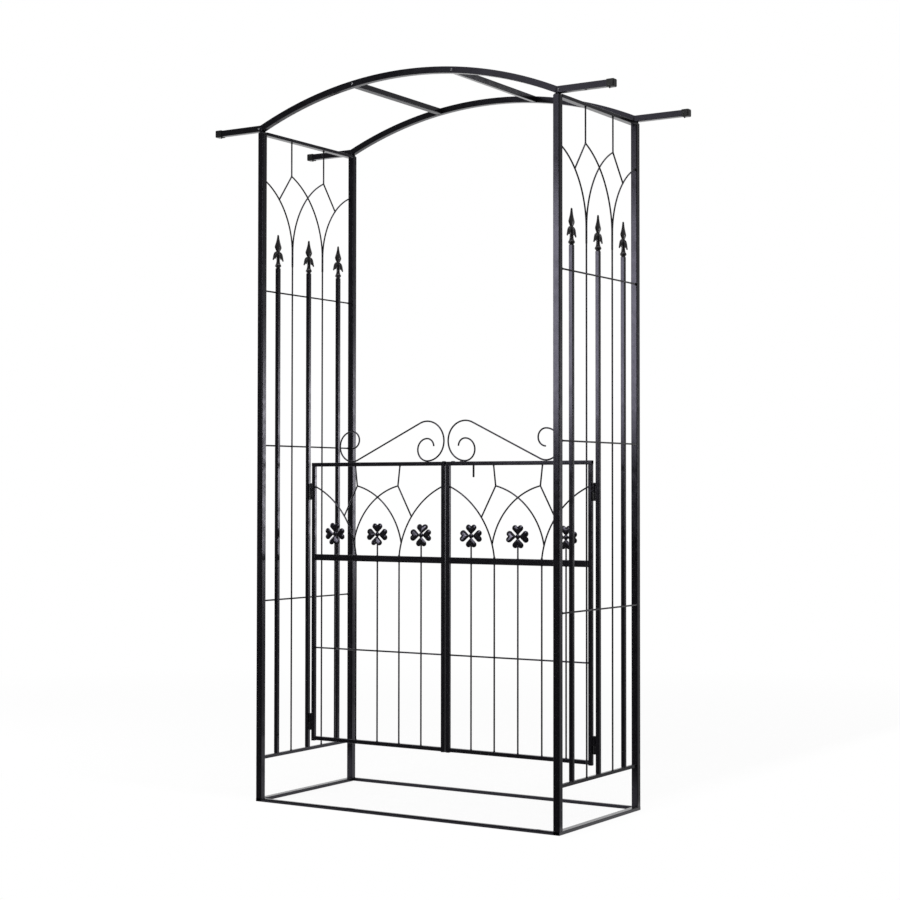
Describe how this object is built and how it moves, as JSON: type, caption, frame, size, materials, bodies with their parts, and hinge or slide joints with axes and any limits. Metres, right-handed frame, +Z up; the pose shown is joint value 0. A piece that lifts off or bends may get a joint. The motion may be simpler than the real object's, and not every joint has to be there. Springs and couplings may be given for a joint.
{
  "type": "garden arch with gate",
  "caption": "Metal garden arch with a curved top, trellis sides with spear finials, and low gate leaves with tracery, clovers and scrolls, closed by a sliding bolt.",
  "frame": {"origin": "on the ground, under the middle of the arch", "axes": "+Z up, +X to the right seen from the front, the front towards -Y"},
  "size_m": [1.372, 0.4894, 2.1423],
  "materials": {
    "powder_coat": "satin black powder coat",
    "casting": "painted rough casting",
    "fittings": "black hinge and bolt steel",
    "cap_plastic": "moulded black plastic"
  },
  "bodies": {
    "frame": {"post_front_left": "powder_coat", "post_back_left": "powder_coat", "post_front_right": "powder_coat", "post_back_right": "powder_coat", "arch_beam_front": "powder_coat", "arch_beam_back": "powder_coat", "arm_cap_front_left": "cap_plastic", "arm_cap_front_right": "cap_plastic", "arm_cap_back_left": "cap_plastic", "arm_cap_back_right": "cap_plastic", "crossbar_left": "powder_coat", "crossbar_right": "powder_coat", "top_rail_left": "powder_coat", "top_rail_right": "powder_coat", "low_rail_left": "powder_coat", "low_rail_right": "powder_coat", "base_bar_left": "powder_coat", "base_bar_right": "powder_coat", "base_bar_front": "powder_coat", "base_bar_back": "powder_coat", "spear_front_left": "powder_coat", "spear_middle_left": "powder_coat", "spear_back_left": "powder_coat", "spear_front_right": "powder_coat", "spear_middle_right": "powder_coat", "spear_back_right": "powder_coat", "finial_front_left": "casting", "finial_middle_left": "casting", "finial_back_left": "casting", "finial_front_right": "casting", "finial_middle_right": "casting", "finial_back_right": "casting", "wire_grille_left": "powder_coat", "wire_grille_right": "powder_coat", "hinge_pivot_upper_left": "fittings", "hinge_pivot_lower_left": "fittings", "hinge_pivot_upper_right": "fittings", "hinge_pivot_lower_right": "fittings"},
    "leaf_left": {"gate_hinge_stile_left": "powder_coat", "gate_meeting_stile_left": "powder_coat", "gate_top_rail_left": "powder_coat", "gate_mid_rail_left": "powder_coat", "gate_bottom_rail_left": "powder_coat", "gate_wires_left": "powder_coat", "gate_scroll_left": "powder_coat", "clover_1_left": "powder_coat", "clover_2_left": "powder_coat", "clover_3_left": "powder_coat"},
    "leaf_right": {"gate_hinge_stile_right": "powder_coat", "gate_meeting_stile_right": "powder_coat", "gate_top_rail_right": "powder_coat", "gate_mid_rail_right": "powder_coat", "gate_bottom_rail_right": "powder_coat", "gate_wires_right": "powder_coat", "gate_scroll_right": "powder_coat", "clover_1_right": "powder_coat", "clover_2_right": "powder_coat", "clover_3_right": "powder_coat"},
    "latch": {"latch_bolt": "fittings"}
  },
  "joints": [
    {"name": "gate_left_swing", "type": "hinge", "parent": "frame", "child": "leaf_left", "pos_m": [-0.498, 0, 0.5], "axis": [0, 0, 1], "range_deg": [-88, 88]},
    {"name": "gate_right_swing", "type": "hinge", "parent": "frame", "child": "leaf_right", "pos_m": [0.498, 0, 0.5], "axis": [0, 0, 1], "range_deg": [-88, 88]},
    {"name": "bolt_slide", "type": "slide", "parent": "leaf_right", "child": "latch", "axis": [1, 0, 0], "range_m": [-0.027, 0]}
  ]
}
